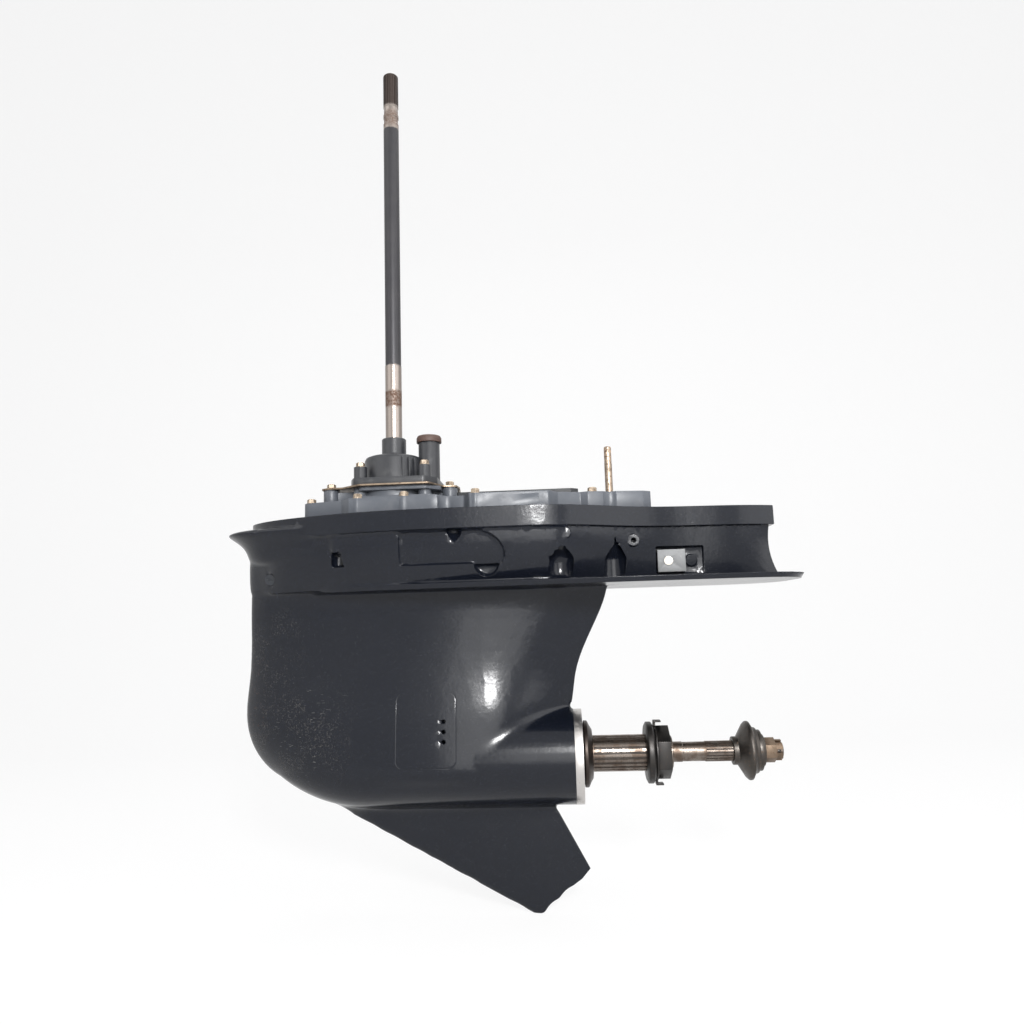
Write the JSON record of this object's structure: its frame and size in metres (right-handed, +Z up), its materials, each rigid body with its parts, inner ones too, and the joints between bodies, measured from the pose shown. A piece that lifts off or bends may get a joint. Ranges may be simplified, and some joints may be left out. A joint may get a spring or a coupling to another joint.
{
  "type": "outboard lower unit",
  "caption": "Gearcase of a large outboard engine with driveshaft, water pump, shift linkage, bevel gears, dog clutches and two coaxial propeller shafts that turn opposite ways.",
  "frame": {"origin": "point where the driveshaft's axis crosses the plane of the gearcase's top flange", "axes": "+X aft along the propeller shafts, +Y to starboard, +Z up along the driveshaft"},
  "size_m": [0.7286, 0.2148, 1.127],
  "materials": {
    "paint": "gloss",
    "cover": "satin",
    "gasket": "matte",
    "zinc": "satin",
    "black_plastic": "matte",
    "stainless": "satin",
    "rubber": "matte",
    "coated_shaft": "satin",
    "bearing_steel": "satin",
    "gear_steel": "satin",
    "shaft_steel": "satin",
    "dark_steel": "satin",
    "bronze": "satin",
    "silver": "satin",
    "anode": "matte",
    "plug": "satin"
  },
  "bodies": {
    "gearcase": {"gearcase_housing": "paint", "cover_plate": "cover", "cover_gasket": "gasket", "cover_bolts": "zinc", "seal_carrier": "black_plastic", "driveshaft_oil_seals": "rubber", "pump_wear_plate": "stainless", "pump_housing": "black_plastic", "pump_liner": "stainless", "pump_bolts": "zinc", "plate_bolts": "zinc", "pump_neck_seal": "rubber", "outlet_grommet": "rubber", "driveshaft_bearing_cup": "bearing_steel", "driveshaft_needle_bearing": "bearing_steel", "front_gear_bearing_cup": "bearing_steel", "rear_gear_bearing_cup": "bearing_steel", "lower_rod_bush": "bronze", "shift_shaft_bushes": "bronze", "prop_bearing_carrier": "silver", "carrier_o_rings": "rubber", "outer_shaft_bearings": "bearing_steel", "outer_shaft_seals": "rubber", "anode_port": "anode", "anode_starboard": "anode", "anode_screws": "stainless", "oil_level_plug": "plug", "drain_plug": "plug"},
    "driveshaft": {"driveshaft": "coated_shaft", "driveshaft_bearing_cone": "bearing_steel", "pinion_gear": "gear_steel", "pinion_nut": "gear_steel", "pump_impeller": "rubber", "impeller_key": "stainless"},
    "front_gear": {"front_gear": "gear_steel", "front_gear_bearing_cone": "bearing_steel"},
    "rear_gear": {"rear_gear": "gear_steel", "rear_gear_bearing_cone": "bearing_steel"},
    "inner_shaft": {"inner_prop_shaft": "shaft_steel", "rear_thrust_hub": "dark_steel", "thrust_washer": "dark_steel", "castle_nut": "dark_steel"},
    "outer_shaft": {"outer_prop_shaft": "shaft_steel", "front_thrust_ring": "dark_steel", "rear_spacer_ring": "dark_steel", "tab_washer": "stainless", "outer_prop_nut": "dark_steel", "inner_shaft_bushes": "bronze"},
    "shift_shaft": {"shift_shaft": "shaft_steel", "shift_lever": "shaft_steel"},
    "shift_link": {"shift_link": "shaft_steel"},
    "lower_rod": {"lower_shift_rod": "shaft_steel"},
    "plunger": {"front_clutch": "gear_steel", "front_cross_pin": "gear_steel", "shift_plunger": "gear_steel", "rear_cross_pin": "gear_steel", "rear_collar": "gear_steel"},
    "rear_clutch": {"rear_clutch": "gear_steel"}
  },
  "joints": [
    {"name": "driveshaft_spin", "type": "hinge", "parent": "gearcase", "child": "driveshaft", "pos_m": [0, 0, 0.2], "axis": [0, 0, 1], "continuous": true},
    {"name": "front_gear_spin", "type": "hinge", "parent": "gearcase", "child": "front_gear", "pos_m": [-0.04, 0, -0.3], "axis": [1, 0, 0], "continuous": true},
    {"name": "rear_gear_spin", "type": "hinge", "parent": "gearcase", "child": "rear_gear", "pos_m": [0.04, 0, -0.3], "axis": [1, 0, 0], "continuous": true},
    {"name": "inner_shaft_spin", "type": "hinge", "parent": "gearcase", "child": "inner_shaft", "pos_m": [0.2, 0, -0.3], "axis": [1, 0, 0], "continuous": true},
    {"name": "outer_shaft_spin", "type": "hinge", "parent": "gearcase", "child": "outer_shaft", "pos_m": [0.2, 0, -0.3], "axis": [1, 0, 0], "continuous": true},
    {"name": "shift_turn", "type": "hinge", "parent": "gearcase", "child": "shift_shaft", "pos_m": [0.282, 0, 0.04], "axis": [0, 0, 1], "range_deg": [-35, 35]},
    {"name": "link_swing", "type": "hinge", "parent": "shift_shaft", "child": "shift_link", "pos_m": [0.282, 0.024, 0.01], "axis": [0, 0, 1], "range_deg": [-35, 35]},
    {"name": "lower_rod_turn", "type": "hinge", "parent": "gearcase", "child": "lower_rod", "pos_m": [-0.084, 0.0122, -0.1], "axis": [0, 0, 1], "range_deg": [-35, 35]},
    {"name": "plunger_slide", "type": "slide", "parent": "inner_shaft", "child": "plunger", "axis": [1, 0, 0], "range_m": [-0.0071, 0.0071]},
    {"name": "rear_clutch_slide", "type": "slide", "parent": "outer_shaft", "child": "rear_clutch", "axis": [1, 0, 0], "range_m": [-0.0071, 0.0071]}
  ],
  "couplings": [
    {"joint": "front_gear_spin", "follows": "driveshaft_spin", "ratio": 0.5},
    {"joint": "rear_gear_spin", "follows": "driveshaft_spin", "ratio": -0.5},
    {"joint": "link_swing", "follows": "shift_turn", "ratio": -1},
    {"joint": "lower_rod_turn", "follows": "shift_turn", "ratio": 1},
    {"joint": "plunger_slide", "follows": "shift_turn", "m_per_rad": 0.011459},
    {"joint": "rear_clutch_slide", "follows": "shift_turn", "m_per_rad": 0.011459}
  ]
}
